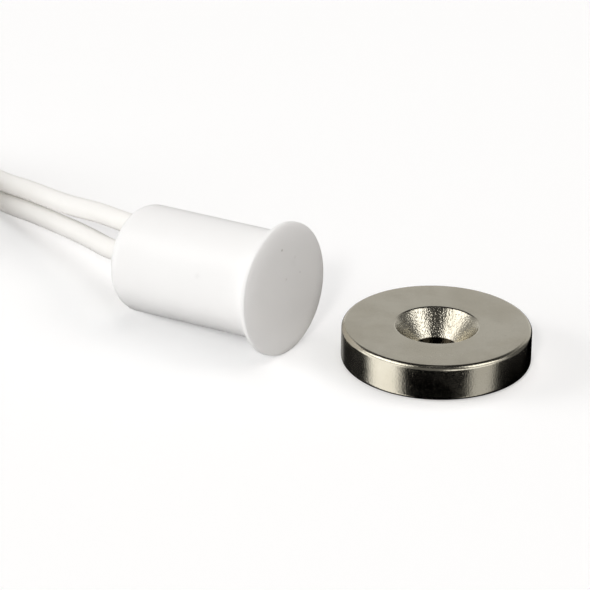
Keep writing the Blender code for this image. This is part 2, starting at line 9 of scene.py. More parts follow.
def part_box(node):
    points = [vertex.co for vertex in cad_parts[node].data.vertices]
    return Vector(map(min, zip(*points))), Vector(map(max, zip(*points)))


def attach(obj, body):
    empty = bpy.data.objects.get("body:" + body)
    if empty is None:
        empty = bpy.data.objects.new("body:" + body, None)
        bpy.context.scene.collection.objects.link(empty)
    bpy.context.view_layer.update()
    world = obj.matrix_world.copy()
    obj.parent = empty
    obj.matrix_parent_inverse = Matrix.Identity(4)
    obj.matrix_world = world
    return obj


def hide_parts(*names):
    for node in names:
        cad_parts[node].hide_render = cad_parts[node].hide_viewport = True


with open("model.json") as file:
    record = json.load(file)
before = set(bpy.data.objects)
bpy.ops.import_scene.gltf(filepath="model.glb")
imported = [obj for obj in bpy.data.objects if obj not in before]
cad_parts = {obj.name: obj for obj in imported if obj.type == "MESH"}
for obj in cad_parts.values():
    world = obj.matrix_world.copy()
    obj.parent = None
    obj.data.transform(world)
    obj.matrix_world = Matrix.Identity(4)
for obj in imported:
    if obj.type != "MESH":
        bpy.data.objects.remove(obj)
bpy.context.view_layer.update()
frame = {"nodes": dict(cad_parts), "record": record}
mm = 0.001


# Camera, in the frame's millimetres

cameraSet = {
    "place": (198.6, -291.6, 171.74),
    "aim": (-7.335, 5.184, 0.0),
    "roll": 1.165,      # degrees, to the left
    "lens": 279.0,
    "sensor": 36.0,
    "nearest": 10.0,
}


def makeCamera():
    place, aim = (Vector(cameraSet[key]) * mm for key in ("place", "aim"))
    ahead = (aim - place).normalized()
    flatRight = ahead.cross(Vector((0, 0, 1))).normalized()
    flatUp = flatRight.cross(ahead)
    roll = radians(cameraSet["roll"])
    right = flatRight * cos(roll) + flatUp * sin(roll)
    up = flatUp * cos(roll) - flatRight * sin(roll)
    data = bpy.data.cameras.new("camera")
    data.lens = cameraSet["lens"]
    data.sensor_width = cameraSet["sensor"]
    data.clip_start = cameraSet["nearest"] * mm
    camera = bpy.data.objects.new("camera", data)
    camera.matrix_world = Matrix.Translation(place) @ Matrix((right, up, -ahead)).transposed().to_4x4()
    bpy.context.scene.collection.objects.link(camera)
    bpy.context.scene.camera = camera
    print("camera set")


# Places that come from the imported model

def mountNamed(name):
    return next(m for m in frame["record"]["mounts"] if m["name"] == name)


def switchPlace(flangeThickness):
    # the switch's own axes: +X out of the flange's face, origin in the middle of that face
    low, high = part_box("housing")
    seat = mountNamed("sensing_face")
    normal, point = Vector(seat["axis"]), Vector(seat["pos_m"])
    tilt = atan2(normal.z, normal.x)
    flangeRadius = (high.y - low.y) / 2
    height = flangeThickness * sin(tilt) + flangeRadius * cos(tilt)
    ahead = point.x - normal.z / normal.x * (height - point.z)
    middle = Vector((ahead, (low.y + high.y) / 2, height))
    return Matrix.Translation(middle) @ Matrix.Rotation(-tilt, 4, "Y")


# Meshes

weld = 0.0001 * mm      # points closer than this are one
alongX, alongZ = Vector((1, 0, 0)), Vector((0, 0, 1))


def finishMesh(bm, name, sharp=35):
    # edges that turn by more than sharp degrees stay crisp
    bmesh.ops.remove_doubles(bm, verts=bm.verts, dist=weld)
    bmesh.ops.recalc_face_normals(bm, faces=bm.faces)
    mesh = bpy.data.meshes.new(name)
    bm.to_mesh(mesh)
    bm.free()
    mesh.shade_smooth()
    mesh.set_sharp_from_angle(angle=radians(sharp))
    return mesh


def addPiece(name, data, material, slot, *nodes):
    piece = bpy.data.objects.new(name, data)
    bpy.context.scene.collection.objects.link(piece)
    data.materials.append(material)
    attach(piece, "root")
    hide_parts(*nodes)
    return piece


def arc(along, out, radius, start, end, steps):
    # start and end in degrees, from along towards out
    angles = [radians(start + (end - start) * i / steps) for i in range(steps + 1)]
    return [(along + radius * cos(a), out + radius * sin(a)) for a in angles]


def spinProfile(profile, steps, axis, out, closed=False):
    # turns (along, out) points about the axis
    bm = bmesh.new()
    verts = [bm.verts.new(axis * a + out * r) for a, r in profile]
    edges = [bm.edges.new(pair) for pair in zip(verts, verts[1:])]
    if closed:
        edges.append(bm.edges.new((verts[-1], verts[0])))
    bmesh.ops.spin(
        bm, geom=verts + edges, cent=(0, 0, 0), axis=axis, angle=2 * pi, steps=steps, use_merge=True
    )
    bmesh.ops.remove_doubles(bm, verts=bm.verts, dist=weld)
    return bm


def vertsOf(geom):
    return [g for g in geom if isinstance(g, bmesh.types.BMVert)]


def edgesOf(geom):
    return [g for g in geom if isinstance(g, bmesh.types.BMEdge)]


def extrudeOn(bm, geom, move):
    # pulls a section's edges on by a move, and returns the new section
    made = bmesh.ops.extrude_edge_only(bm, edges=edgesOf(geom))["geom"]
    verts = vertsOf(made)
    bmesh.ops.translate(bm, verts=verts, vec=move)
    return verts + [edge for edge in edgesOf(made) if all(v in verts for v in edge.verts)]


def closedLoop(bm, verts):
    return verts + [bm.edges.new(pair) for pair in zip(verts, verts[1:] + verts[:1])]


# Shader nodes

def put(tree, kind, place, props=None, values=None):
    node = tree.nodes.new(kind)
    node.location = place
    for key, value in (props or {}).items():
        setattr(node, key, value)
    for key, value in (values or {}).items():
        node.inputs[key].default_value = value
    return node


def join(tree, start, end):
    # start and end are (node, socket)
    tree.links.new(start[0].outputs[start[1]], end[0].inputs[end[1]])


def feed(tree, node, values):
    # fills sockets; a value is a link's (node, socket), a number or a colour
    for socket, value in values.items():
        if isinstance(value, tuple) and isinstance(value[0], bpy.types.Node):
            join(tree, value, (node, socket))
        elif isinstance(value, tuple):
            node.inputs[socket].default_value = (*value, 1)
        else:
            node.inputs[socket].default_value = value


def mathNode(tree, operation, place, first, second=0.0):
    node = put(tree, "ShaderNodeMath", place, {"operation": operation})
    feed(tree, node, {0: first, 1: second})
    return node, 0


def rangeNode(tree, place, value, span, ends=(0.0, 1.0), kind="LINEAR"):
    # maps a span of the value to what lies between the ends
    node = put(tree, "ShaderNodeMapRange", place, {"interpolation_type": kind})
    feed(tree, node, {0: value, 1: span[0], 2: span[1], 3: ends[0], 4: ends[1]})
    return node, 0


def noiseNode(tree, place, vector, scale, values):
    node = put(tree, "ShaderNodeTexNoise", place, values=values)
    feed(tree, node, {"Vector": vector, "Scale": scale})
    return node, 0


def mixValue(tree, place, share, first, second):
    node = put(tree, "ShaderNodeMix", place)
    feed(tree, node, {0: share, 2: first, 3: second})
    return node, 0


def mixColor(tree, place, share, first, second):
    node = put(tree, "ShaderNodeMix", place, {"data_type": "RGBA"})
    feed(tree, node, {0: share, 6: first, 7: second})
    return node, 2


def mixShader(tree, place, share, first, second):
    node = put(tree, "ShaderNodeMixShader", place)
    feed(tree, node, {0: share, 1: first, 2: second})
    return node, 0


# Shader effects that several materials share

def startGroup(name, inputs, output):
    # an input without a value of its own is a vector
    tree = bpy.data.node_groups.new(name, "ShaderNodeTree")
    for label, value in inputs.items():
        kind = "NodeSocketVector" if value is None else "NodeSocketFloat"
        socket = tree.interface.new_socket(label, in_out="INPUT", socket_type=kind)
        if value is not None:
            socket.default_value = value
    tree.interface.new_socket(output, in_out="OUTPUT", socket_type="NodeSocketFloat")
    start = put(tree, "NodeGroupInput", (-900, 0))
    end = put(tree, "NodeGroupOutput", (700, 0))
    return tree, start, end


def makeFineGrain():
    # a fine surface grain: two sizes of noise in one height
    tree, start, end = startGroup("fineGrain", {"Vector": None, "Scale": 4000.0, "Coarse": 0.3}, "Height")
    vector, scale = (start, "Vector"), (start, "Scale")
    wider = mathNode(tree, "MULTIPLY", (-700, -160), scale, 0.22)
    fine = noiseNode(tree, (-500, 120), vector, scale, {"Detail": 2.0, "Roughness": 0.6})
    wide = noiseNode(tree, (-500, -160), vector, wider, {"Detail": 1.0})
    join(tree, mixValue(tree, (0, 0), (start, "Coarse"), fine, wide), (end, "Height"))
    return tree


def makeMottle():
    # a slow change between a low and a high value
    tree, start, end = startGroup(
        "mottle", {"Vector": None, "Scale": 300.0, "Low": 0.0, "High": 1.0}, "Value"
    )
    noise = noiseNode(
        tree, (-500, 0), (start, "Vector"), (start, "Scale"), {"Detail": 3.0, "Roughness": 0.55}
    )
    ends = (start, "Low"), (start, "High")
    join(tree, rangeNode(tree, (0, 0), noise, (0.32, 0.68), ends, "SMOOTHSTEP"), (end, "Value"))
    return tree


def makeSpecks():
    # round specks in some of the cells: share is how many cells hold one, size is their radius in cells
    tree, start, end = startGroup(
        "specks", {"Vector": None, "Scale": 900.0, "Share": 0.1, "Size": 0.2}, "Mask"
    )
    cells = put(tree, "ShaderNodeTexVoronoi", (-600, 0))
    feed(tree, cells, {"Vector": (start, "Vector"), "Scale": (start, "Scale")})
    split = put(tree, "ShaderNodeSeparateColor", (-400, 160))
    join(tree, (cells, "Color"), (split, 0))
    pick = mathNode(tree, "LESS_THAN", (-200, 160), (split, 0), (start, "Share"))
    span = 0.0, (start, "Size")
    soft = rangeNode(tree, (-200, -60), (cells, "Distance"), span, (1.0, 0.0), "SMOOTHSTEP")
    join(tree, mathNode(tree, "MULTIPLY", (200, 0), pick, soft), (end, "Mask"))
    return tree


def makeScratches():
    # short fine lines across the vector's X
    tree, start, end = startGroup(
        "scratches", {"Vector": None, "Scale": 700.0, "Stretch": 0.06, "Share": 0.4}, "Mask"
    )
    vector, scale = (start, "Vector"), (start, "Scale")
    pull = put(tree, "ShaderNodeCombineXYZ", (-700, -200), values={0: 1.0, 2: 1.0})
    join(tree, (start, "Stretch"), (pull, 1))
    long = put(tree, "ShaderNodeVectorMath", (-500, 0), {"operation": "MULTIPLY"})
    feed(tree, long, {0: vector, 1: (pull, 0)})
    lines = noiseNode(tree, (-300, 0), (long, 0), scale, {"Detail": 4.0, "Roughness": 0.75})
    ridge = rangeNode(tree, (-60, 0), lines, (0.6, 0.72))
    fewer = mathNode(tree, "MULTIPLY", (-500, -260), scale, 0.12)
    patch = noiseNode(tree, (-300, -260), vector, fewer, {"Detail": 1.0})
    keep = mathNode(tree, "LESS_THAN", (-60, -260), patch, (start, "Share"))
    join(tree, mathNode(tree, "MULTIPLY", (240, 0), ridge, keep), (end, "Mask"))
    return tree


def makeSpot():
    # one soft round spot at a place
    tree, start, end = startGroup(
        "spot", {"Vector": None, "Place": None, "Radius": 0.3 * mm, "Depth": 1.0}, "Mask"
    )
    away = put(tree, "ShaderNodeVectorMath", (-500, 0), {"operation": "DISTANCE"})
    feed(tree, away, {0: (start, "Vector"), 1: (start, "Place")})
    span, ends = (0.0, (start, "Radius")), ((start, "Depth"), 0.0)
    join(tree, rangeNode(tree, (-200, 0), (away, "Value"), span, ends, "SMOOTHSTEP"), (end, "Mask"))
    return tree


def makeEdgeWear():
    # breaks up the painted edge attribute with noise
    tree, start, end = startGroup("edgeWear", {"Vector": None, "Edge": 0.0, "Scale": 900.0}, "Mask")
    noise = noiseNode(
        tree, (-500, 0), (start, "Vector"), (start, "Scale"), {"Detail": 3.0, "Roughness": 0.7}
    )
    patches = rangeNode(tree, (-200, 0), noise, (0.42, 0.62), kind="SMOOTHSTEP")
    join(tree, mathNode(tree, "MULTIPLY", (200, 0), patches, (start, "Edge")), (end, "Mask"))
    return tree


effects = {
    "fineGrain": makeFineGrain(),
    "mottle": makeMottle(),
    "specks": makeSpecks(),
    "scratches": makeScratches(),
    "spot": makeSpot(),
    "edgeWear": makeEdgeWear(),
}


# What all materials are made with

def startMaterial(name, color, rough, metallic=0.0, place=None):
    # place is the pattern's own axes, where they aren't the frame's
    material = bpy.data.materials.new(name)
    material.use_nodes = True
    tree = material.node_tree
    shader = tree.nodes["Principled BSDF"]
    feed(tree, shader, {"Base Color": color, "Roughness": rough, "Metallic": metallic})
    material.diffuse_color = (*color, 1)
    coords = (put(tree, "ShaderNodeTexCoord", (-1600, 0)), "Object")
    if place:
        back = place.inverted()
        turned = put(tree, "ShaderNodeMapping", (-1400, 0), values={
            "Location": back.to_translation(), "Rotation": back.to_euler(),
        })
        join(tree, coords, (turned, "Vector"))
        coords = (turned, "Vector")
    return material, tree, shader, coords


def effect(tree, name, coords, place, values):
    node = put(tree, "ShaderNodeGroup", place, {"node_tree": effects[name]}, values)
    join(tree, coords, (node, "Vector"))
    return node, 0


def clouded(tree, coords, height, color, other, scale, most):
    # the colour drifts towards another in soft clouds
    cloud = effect(tree, "mottle", coords, (-1000, height), {"Scale": scale, "Low": 0.0, "High": most})
    return mixColor(tree, (-700, height), cloud, color, other)


def glossed(tree, shader, coords, height, scale, span):
    # the roughness drifts between two values
    low, high = span
    gloss = effect(tree, "mottle", coords, (-1000, height), {"Scale": scale, "Low": low, "High": high})
    join(tree, gloss, (shader, "Roughness"))


def addBumps(tree, shader, bumps):
    # each bump is (height, strength, distance in millimetres)
    before = None
    for i, (height, strength, distance) in enumerate(bumps):
        node = put(tree, "ShaderNodeBump", (-420 + 180 * i, -520), values={
            "Strength": strength, "Distance": distance * mm,
        })
        join(tree, height, (node, "Height"))
        if before:
            join(tree, (before, 0), (node, "Normal"))
        before = node
    join(tree, (before, 0), (shader, "Normal"))


# Light, world and floor

# share is how much of a white surface's full brightness a lamp gives where it falls straight on
lightSet = {
    "left": {"azimuth": 215, "elevation": 17, "size": 0.8, "share": 0.66, "color": (1.0, 1.0, 1.0)},
    "front": {"azimuth": 292, "elevation": 33, "size": 0.2, "share": 0.31, "color": (1.0, 0.98, 0.96)},
    "top": {"azimuth": 305, "elevation": 80, "size": 0.8, "share": 0.155, "color": (1.0, 0.99, 0.98)},
    "right": {"azimuth": 29, "elevation": 41, "size": 0.8, "share": 0.225, "color": (1.0, 0.955, 0.925)},
    "back": {"azimuth": 70, "elevation": 50, "size": 0.8, "share": 0.18, "color": (1.0, 0.97, 0.95)},
    "behind": {"azimuth": 125, "elevation": 70, "size": 0.8, "share": 0.235, "color": (1.0, 1.0, 1.0)},
}
lampsFar = 1.5      # metres


def directionTo(azimuth, elevation):
    a, e = radians(azimuth), radians(elevation)
    return Vector((cos(a) * cos(e), sin(a) * cos(e), sin(e)))


def makeLight(name, values):
    data = bpy.data.lights.new(name, "AREA")
    data.shape = "SQUARE"
    data.size = values["size"]
    data.energy = values["share"] * pi ** 2 * lampsFar ** 2
    data.color = values["color"]
    lamp = bpy.data.objects.new(name, data)
    way = directionTo(values["azimuth"], values["elevation"])
    turn = way.to_track_quat("Z", "Y").to_matrix().to_4x4()
    lamp.matrix_world = Matrix.Translation(way * lampsFar) @ turn
    lamp.visible_glossy = False     # the world holds what the pieces mirror
    bpy.context.scene.collection.objects.link(lamp)


worldSet = {
    "fill": 0.0,        # even light from all sides
    # what the pieces mirror, by elevation: the dark below, the studio's walls, its ceiling
    "room": ((-4, 0.0), (2, 0.69), (30, 0.69), (36, 0.30), (43, 0.08), (58, 0.03), (85, 0.04), (88, 0.85)),
    # screens and dark flags, each laid over those before it:
    # start and end azimuth, low and high elevation, softness in degrees, brightness
    "screens": (
        (95, 200, -3, 13, 4, 0.95),
        (262, 346, 6, 36, 6, 0.20),
        (262, 346, 36, 86, 6, 0.07),
        (33, 76, -20, 34, 7, 0.14),
        (122, 168, -28, 2, 6, 0.50),
        (172, 192, 10, 30, 6, 0.36),
        (258, 316, -16, 9, 5, 0.17),
        (316, 374, -14, 12, 6, 1.6),
        (200, 264, 28, 60, 9, 2.7),
        (200, 266, -14, 12, 5, 1.9),
        (348, 391, 31, 60, 9, 2.6),
        (216, 259, -60, 12, 9, 1.62),
        (346, 378, -60, -12, 8, 0.72),
        (150, 204, -60, -10, 6, 0.02),
    ),
}


def grey(value):
    return (value, value, value, 1)


def makeScreen():
    # lays one brightness over what comes before it, between two azimuths and two elevations
    tree, start, end = startGroup("screen", {
        "Before": 0.0, "Azimuth": 0.0, "Elevation": 0.0, "Middle": 0.0, "Half": 20.0,
        "Low": 0.0, "High": 20.0, "Soft": 5.0, "Bright": 1.0,
    }, "Value")
    azimuth, elevation, soft = (start, "Azimuth"), (start, "Elevation"), (start, "Soft")
    span = mathNode(tree, "SUBTRACT", (-700, 300), azimuth, (start, "Middle"))
    turned = mathNode(tree, "WRAP", (-540, 300), span, 180.0)
    turned[0].inputs[2].default_value = -180.0
    off = mathNode(tree, "ABSOLUTE", (-380, 300), turned)
    inside = mathNode(tree, "SUBTRACT", (-220, 300), (start, "Half"), off)
    above = mathNode(tree, "SUBTRACT", (-380, 100), elevation, (start, "Low"))
    below = mathNode(tree, "SUBTRACT", (-380, -100), (start, "High"), elevation)
    least = mathNode(tree, "MINIMUM", (-60, 100), above, below)
    depth = mathNode(tree, "MINIMUM", (100, 200), inside, least)
    back = mathNode(tree, "MULTIPLY", (100, -100), soft, -1.0)
    share = rangeNode(tree, (280, 100), depth, (back, soft), kind="SMOOTHSTEP")
    laid = mixValue(tree, (480, 0), share, (start, "Before"), (start, "Bright"))
    join(tree, laid, (end, "Value"))
    return tree


def makeWorld():
    world = bpy.data.worlds.new("studio")
    bpy.context.scene.world = world
    world.use_nodes = True
    tree = world.node_tree
    tree.nodes.clear()
    # the way that a ray looks, as azimuth and elevation in degrees
    way = put(tree, "ShaderNodeTexCoord", (-2200, 0))
    parts = put(tree, "ShaderNodeSeparateXYZ", (-2000, 0))
    join(tree, (way, "Generated"), (parts, 0))
    turn = mathNode(tree, "ARCTAN2", (-1800, 200), (parts, "Y"), (parts, "X"))
    azimuth = mathNode(tree, "DEGREES", (-1640, 200), turn)
    rise = mathNode(tree, "ARCSINE", (-1800, -100), (parts, "Z"))
    elevation = mathNode(tree, "DEGREES", (-1640, -100), rise)
    room = put(tree, "ShaderNodeValToRGB", (-1280, -100))
    join(tree, rangeNode(tree, (-1440, -100), elevation, (-90.0, 90.0)), (room, 0))
    points = room.color_ramp.elements
    while len(points) < len(worldSet["room"]):
        points.new(0.5)
    for point, (height, value) in zip(points, worldSet["room"]):
        point.position = (height + 90) / 180
        point.color = grey(value)
    before, screen = (room, 0), makeScreen()
    for i, (first, last, low, high, soft, bright) in enumerate(worldSet["screens"]):
        after = put(tree, "ShaderNodeGroup", (-1040 + 150 * i, 0), {"node_tree": screen})
        feed(tree, after, {
            "Before": before, "Azimuth": azimuth, "Elevation": elevation,
            "Middle": (first + last) / 2, "Half": (last - first) / 2, "Low": low, "High": high,
            "Soft": soft, "Bright": bright,
        })
        before = (after, 0)
    fill, mirror, white = (put(tree, "ShaderNodeBackground", (300, y)) for y in (300, 100, -100))
    fill.inputs["Strength"].default_value = worldSet["fill"]
    join(tree, before, (mirror, "Strength"))
    # the camera sees white, mirroring and clear surfaces see the room, the rest sees the fill
    rays = put(tree, "ShaderNodeLightPath", (-200, 600))
    shiny = mathNode(tree, "MAXIMUM", (60, 500), (rays, "Is Glossy Ray"), (rays, "Is Transmission Ray"))
    seen = mixShader(tree, (520, 200), shiny, (fill, 0), (mirror, 0))
    whole = mixShader(tree, (720, 100), (rays, "Is Camera Ray"), seen, (white, 0))
    join(tree, whole, (put(tree, "ShaderNodeOutputWorld", (920, 100)), "Surface"))


floorSet = {
    "side": 3.0,        # metres
    "below": 0.01,      # millimetres under the object
    "bounce": 0.80,     # the share of the light that it throws back on the object
    "shadow": 0.69,     # what the camera sees darken in a shadow
    "glow": 0.34,       # what stays
}


def makeFloor():
    bm = bmesh.new()
    bmesh.ops.create_grid(bm, x_segments=1, y_segments=1, size=floorSet["side"] / 2)
    bmesh.ops.translate(bm, verts=bm.verts, vec=(0, 0, -floorSet["below"] * mm))
    mesh = bpy.data.meshes.new("floor")
    bm.to_mesh(mesh)
    bm.free()
    floor = bpy.data.objects.new("floor", mesh)
    bpy.context.scene.collection.objects.link(floor)
    floor.visible_glossy = False
    material = bpy.data.materials.new("floorPaper")
    material.use_nodes = True
    tree = material.node_tree
    tree.nodes.clear()
    rays = put(tree, "ShaderNodeLightPath", (-600, 300))
    bounce = put(tree, "ShaderNodeBsdfDiffuse", (-400, 200), values={"Color": grey(floorSet["bounce"])})
    seen = put(tree, "ShaderNodeBsdfDiffuse", (-400, -200), values={"Color": grey(floorSet["shadow"])})
    glow = put(tree, "ShaderNodeEmission", (-400, -400), values={"Strength": floorSet["glow"]})
    both = put(tree, "ShaderNodeAddShader", (-100, -300))
    feed(tree, both, {0: (seen, 0), 1: (glow, 0)})
    whole = mixShader(tree, (100, 0), (rays, "Is Camera Ray"), (bounce, 0), (both, 0))
    join(tree, whole, (put(tree, "ShaderNodeOutputMaterial", (300, 0)), "Surface"))
    mesh.materials.append(material)


# Leads, in the frame's millimetres

leadSet = {
    "diameter": 1.8,
    "length": 305,
    "color": (0.92, 0.908, 0.88),
    "cloudColor": (0.885, 0.868, 0.835),
    "dirtColor": (0.42, 0.38, 0.33),
    "rough": 0.42,
    "gloss": (0.34, 0.5),
    "runEnd": (-41.2, 4.25),
    "runHeading": 164,
    "stepDegrees": 10,
    "aroundSteps": 6,
    "alongSteps": 3,
}
# the coil lies on its tie at one side and on the table at the other
coilSet = {
    "middleTurn": 10.8,     # radius
    "turnsWide": 3, "turnsHigh": 3,
    "slack": 0.05,      # room round the turns
    "corner": 0.7,      # rounding of the coil's section
    "tieAngle": 215, "tieThickness": 0.35, "tieGap": 0.15,
    "tableGap": 0.05, "runGap": 0.1,
}
leadA = {
    "inner": (-14.787, -3.316, 6.538),
    "mouth": (-17.146, -3.178, 6.560),
    "route": (
        (-18.75, -3.10, 6.55), (-20.60, -2.80, 6.42), (-22.70, -2.20, 6.15), (-24.90, -1.40, 5.66),
        (-27.95, -0.30, 4.90), (-31.45, 1.25, 4.08), (-34.85, 2.65, 3.42), (-38.20, 3.55, 2.90),
    ),
    "runLayer": 2,
    # degrees round the coil, radius and layer where each stretch ends
    "wind": (
        (0, 12.6, 2), (320, 12.6, 2), (360, 10.8, 2), (640, 10.8, 2), (680, 10.8, 3), (960, 10.8, 3),
        (1000, 9.0, 3), (1290, 9.0, 3), (1350, 6.6, 1.6), (1426, 4.95, 1),
    ),
}
leadB = {
    "inner": (-14.649, -4.475, 4.792),
    "mouth": (-16.991, -4.625, 4.606),
    "route": (
        (-18.50, -4.70, 4.50), (-20.10, -4.50, 4.38), (-21.50, -3.95, 4.18), (-23.85, -2.80, 3.80),
        (-27.25, -1.25, 3.20), (-30.70, 0.30, 2.50), (-34.25, 1.85, 1.78), (-37.80, 3.05, 1.18),
    ),
    "runLayer": 1,
    "wind": (
        (0, 12.6, 1), (320, 12.6, 1), (360, 10.8, 1), (680, 10.8, 1), (720, 9.0, 1), (1000, 9.0, 1),
        (1040, 9.0, 2), (1340, 9.0, 2), (1456, 6.9, 1),
    ),
}


def outerTurn():
    return coilSet["middleTurn"] + (coilSet["turnsWide"] - 1) / 2 * leadSet["diameter"]


def coilMatrix():
    c, wire = coilSet, leadSet["diameter"]
    middle, outer, half = c["middleTurn"], outerTurn(), c["turnsWide"] * wire / 2 + c["slack"]
    # the straight run from where the leads enter to where they touch the outer turn
    run = sqrt((middle + half + c["runGap"] + wire / 2) ** 2 - outer ** 2)
    ahead = radians(leadSet["runHeading"])
    x = leadSet["runEnd"][0] + run * cos(ahead) - outer * sin(ahead)
    y = leadSet["runEnd"][1] + run * sin(ahead) + outer * cos(ahead)
    tieFoot, farFoot = middle - half - c["tieGap"] + c["corner"], middle + half - c["corner"]
    tilt = asin((c["tieThickness"] + c["tieGap"] - c["tableGap"]) / (tieFoot + farFoot))
    centre = Vector((x, y, c["tableGap"] + farFoot * sin(tilt))) * mm
    turn = Matrix.Rotation(radians(c["tieAngle"]), 4, "Z")
    return Matrix.Translation(centre) @ turn @ Matrix.Rotation(-tilt, 4, "Y")


coilPlace = coilMatrix()


def coilPoint(degreesRound, radius, layer):
    # the coil's own frame starts at the tie
    start = leadSet["runHeading"] - 90 - coilSet["tieAngle"]
    a = radians(start + degreesRound)
    height = coilSet["slack"] + (layer - 0.5) * leadSet["diameter"]
    return coilPlace @ (Vector((radius * cos(a), radius * sin(a), height)) * mm)


def eased(share):
    return share * share * (3 - 2 * share)


def windPoints(stations):
    points = []
    for (a, r0, l0), (b, r1, l1) in zip(stations, stations[1:]):
        count = max(1, round((b - a) / leadSet["stepDegrees"]))
        for i in range(count):
            share = i / count
            soft = eased(share)
            points.append(coilPoint(a + (b - a) * share, r0 + (r1 - r0) * soft, l0 + (l1 - l0) * soft))
    points.append(coilPoint(*stations[-1]))
    return points


def withMiddles(points):
    # adds a point between each two, on the smooth curve through them
    ends = [2 * points[0] - points[1], *points, 2 * points[-1] - points[-2]]
    full = []
    for before, a, b, after in zip(ends, ends[1:], ends[2:], ends[3:]):
        full += [a, (9 * (a + b) - before - after) / 16]
    return full + [points[-1]]


def leadPoints(lead):
    knots = [Vector(p) * mm for p in (lead["inner"], lead["mouth"], *lead["route"])]
    top = coilPoint(0, outerTurn(), lead["runLayer"])
    runEnd = Vector((*leadSet["runEnd"], 0)) * mm
    knots.append(Vector((runEnd.x, runEnd.y, top.z)))
    return withMiddles(knots) + windPoints(lead["wind"])


def makeLead(name, lead, material, *nodes):
    points = leadPoints(lead)
    curve = bpy.data.curves.new(name, "CURVE")
    curve.dimensions = "3D"
    curve.bevel_depth = leadSet["diameter"] / 2 * mm
    curve.bevel_resolution = leadSet["aroundSteps"]
    curve.resolution_u = leadSet["alongSteps"]
    curve.use_fill_caps = True
    spline = curve.splines.new("NURBS")
    spline.points.add(len(points) - 1)
    for spot, point in zip(spline.points, points):
        spot.co = (*point, 1)
    spline.use_endpoint_u = True
    spline.order_u = 4
    spline.use_smooth = True
    return addPiece(name, curve, material, "lead_jacket", *nodes)


def jacketMaterial():
    s = leadSet
    material, tree, shader, coords = startMaterial("leadJacket", s["color"], s["rough"])
    color = clouded(tree, coords, 300, s["color"], s["cloudColor"], scale=160.0, most=0.5)
    dirt = effect(tree, "specks", coords, (-1000, 60), {"Scale": 800.0, "Share": 0.05, "Size": 0.16})
    faint = mathNode(tree, "MULTIPLY", (-700, 60), dirt, 0.35)
    join(tree, mixColor(tree, (-450, 300), faint, color, s["dirtColor"]), (shader, "Base Color"))
    glossed(tree, shader, coords, -160, scale=420.0, span=s["gloss"])
    grain = effect(tree, "fineGrain", coords, (-1000, -400), {"Scale": 3800.0, "Coarse": 0.4})
    addBumps(tree, shader, [(grain, 0.25, 0.02)])
    return material


# Housing, in the switch's own millimetres

housingSet = {
    "bodyDiameter": 9.4, "wall": 0.95, "length": 15.9,
    "flangeDiameter": 11.6, "flangeThickness": 0.75, "rimLand": 0.35, "crownWidth": 1.9, "rimEdge": 0.07,
    "crownTurn": 84,    # degrees
    "fillet": 0.2, "frontWall": 1.1, "backRounding": 1.35, "boreCorner": 0.3,
    "steps": 224,
    # how many steps each stretch of the profile has
    "rings": {"face": 4, "crown": 24, "edge": 5, "fillet": 8, "body": 6, "back": 18, "corner": 5},
    "color": (0.93, 0.927, 0.92),
    "cloudColor": (0.905, 0.9, 0.89),
    "markColor": (0.30, 0.28, 0.26),
    "rough": 0.34,
    "gloss": (0.28, 0.40),
}


def housingProfile():
    # from the middle of the face round the outside and back up the bore
    h, rings = housingSet, housingSet["rings"]
    flange, body = h["flangeDiameter"] / 2, h["bodyDiameter"] / 2
    bore = body - h["wall"]
    drop, flat, edge = h["flangeThickness"] - h["rimLand"], flange - h["crownWidth"], h["rimEdge"]
    points = [(0, flat * i / rings["face"]) for i in range(rings["face"] + 1)]
    for i in range(1, rings["crown"] + 1):
        a = radians(h["crownTurn"] * i / rings["crown"])
        points.append((-drop * (1 - cos(a)), flat + h["crownWidth"] * sin(a)))
    points.append((-drop - edge / 2, flange))
    points += arc(-h["flangeThickness"] + edge, flange - edge, edge, 90, 180, rings["edge"])
    start = -h["flangeThickness"] - h["fillet"]
    points += arc(start, body + h["fillet"], h["fillet"], 0, -90, rings["fillet"])
    back = -(h["length"] - h["backRounding"])
    points += [(start + (back - start) * i / rings["body"], body) for i in range(1, rings["body"])]
    centre = body - h["backRounding"]
    stop = 180 - degrees(atan2(bore - centre, (h["backRounding"] ** 2 - (bore - centre) ** 2) ** 0.5))
    points += arc(back, centre, h["backRounding"], 90, stop, rings["back"])
    corner = h["boreCorner"]
    points += arc(-h["frontWall"] - corner, bore - corner, corner, 90, 0, rings["corner"])
    points.append((-h["frontWall"], 0))
    return [(a * mm, r * mm) for a, r in points]


def makeHousing(place, material):
    bm = spinProfile(housingProfile(), housingSet["steps"], alongX, alongZ)
    bmesh.ops.transform(bm, matrix=place, verts=bm.verts)
    mesh = finishMesh(bm, "housing_shell")
    return addPiece("housing_shell", mesh, material, "housing_plastic", "housing")


# marks on the flange's face and the body, in the switch's own millimetres: place, radius, strength
housingMarks = (
    ((0, -0.46, 3.78), 0.17, 0.62), ((0, 1.34, 2.52), 0.26, 0.10), ((0, 1.94, 0.93), 0.16, 0.22),
    ((0, -0.05, 0.98), 0.20, 0.20), ((0, 1.05, 2.1), 0.6, 0.03), ((-6.15, -4.41, 1.64), 0.42, 0.07),
)


